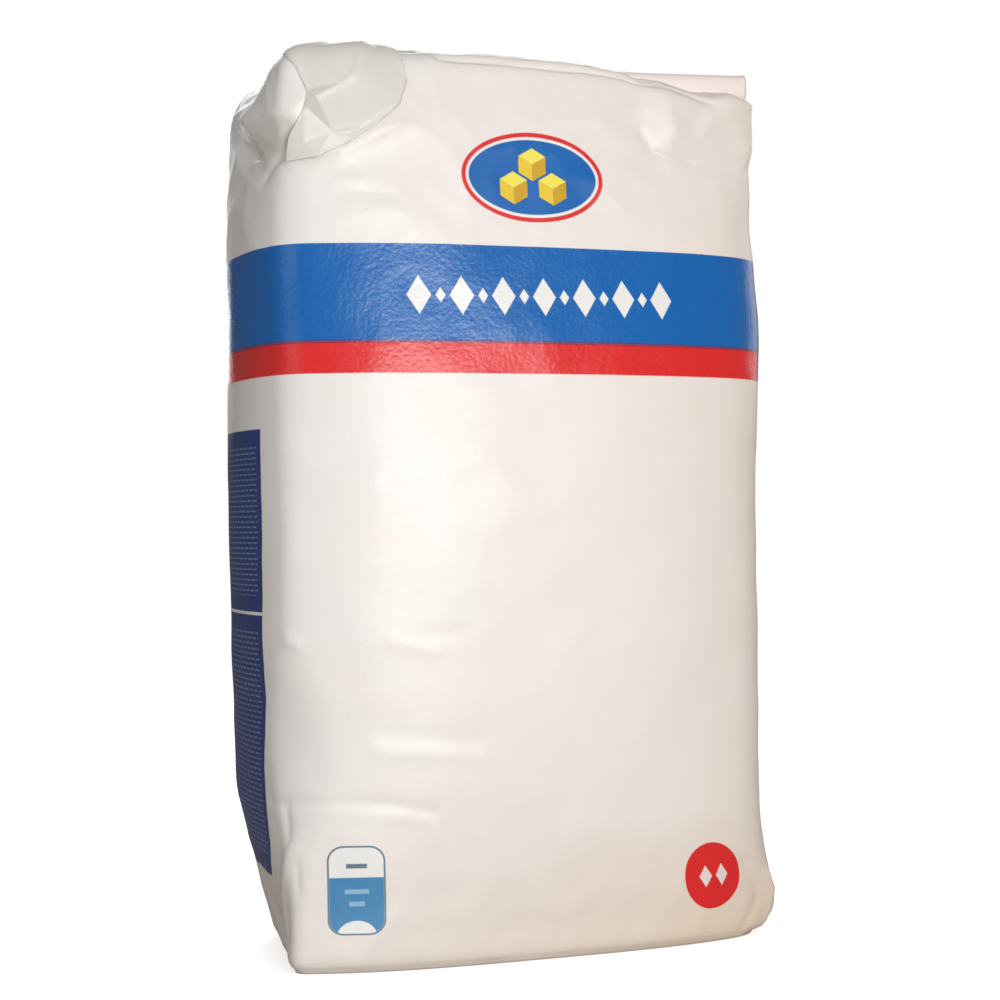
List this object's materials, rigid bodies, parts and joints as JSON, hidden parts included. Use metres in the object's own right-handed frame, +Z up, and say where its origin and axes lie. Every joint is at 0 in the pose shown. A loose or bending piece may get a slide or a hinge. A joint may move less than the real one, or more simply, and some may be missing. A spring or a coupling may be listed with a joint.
{
  "type": "bag of sugar",
  "caption": "Upright paper bag of granulated sugar, bulging between its creases, with a flat folded base, a folded closure along the top and one crumpled top corner.",
  "frame": {"origin": "centre of the bounding box, on the surface that the bag stands on", "axes": "+Z up, the front panel faces -Y, +X to the right of someone who looks at the front"},
  "size_m": [0.1118, 0.0666, 0.1825],
  "materials": {
    "bag_paper": "smooth white bag paper with a faint sheen, printed with a blue and a red band all round"
  },
  "bodies": {
    "root": {"sugar_bag": "bag_paper"}
  },
  "joints": []
}
